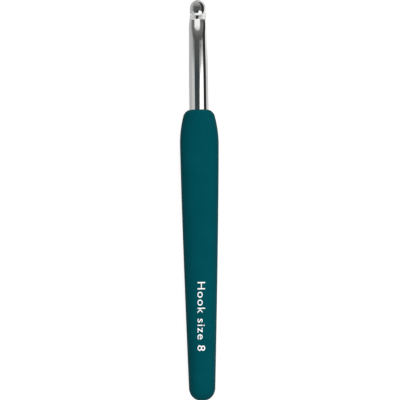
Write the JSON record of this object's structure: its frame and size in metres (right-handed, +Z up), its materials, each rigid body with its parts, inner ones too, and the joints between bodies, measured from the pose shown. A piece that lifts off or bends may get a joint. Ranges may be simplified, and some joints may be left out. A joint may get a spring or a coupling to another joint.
{
  "type": "crochet hook",
  "caption": "Metal crochet hook with an undercut lip and tapered throat, its tang held by a rigid core inside a contoured soft grip.",
  "frame": {"origin": "on the surface that the hook lies on, under the middle of its overall length and its long axis", "axes": "+Y along the hook towards its tip, +Z up and out of the hook's mouth, +X across the grip"},
  "size_m": [0.0162, 0.167, 0.0108],
  "materials": {
    "polished_metal": "polished",
    "core_plastic": "moulded",
    "soft_grip": "matt soft touch"
  },
  "bodies": {
    "root": {"hook": "polished_metal", "grip_core": "core_plastic", "soft_grip": "soft_grip"}
  },
  "joints": []
}
